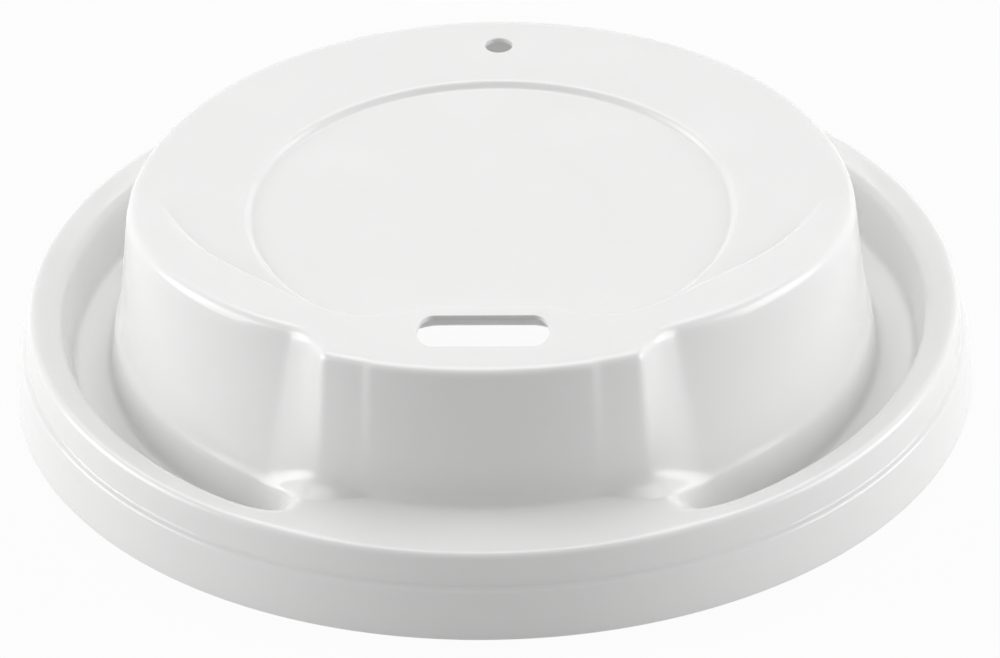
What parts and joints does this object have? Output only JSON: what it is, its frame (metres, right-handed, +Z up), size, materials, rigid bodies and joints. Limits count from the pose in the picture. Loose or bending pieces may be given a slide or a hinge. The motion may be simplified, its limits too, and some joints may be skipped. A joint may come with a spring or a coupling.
{
  "type": "coffee cup lid",
  "caption": "Round push-on takeaway cup lid with a raised drinking spout, sip slot, vent hole, recessed disc and splash channel.",
  "frame": {"origin": "centre of the open base edge, on the surface that the lid stands on", "axes": "+Z up through the top disc, -Y towards the drinking slot, +X to the right of a viewer who faces the slot"},
  "size_m": [0.093, 0.093, 0.0234],
  "materials": {
    "white_plastic": "satin white thermoformed sheet"
  },
  "bodies": {
    "root": {"sip_lid": "white_plastic"}
  },
  "joints": []
}
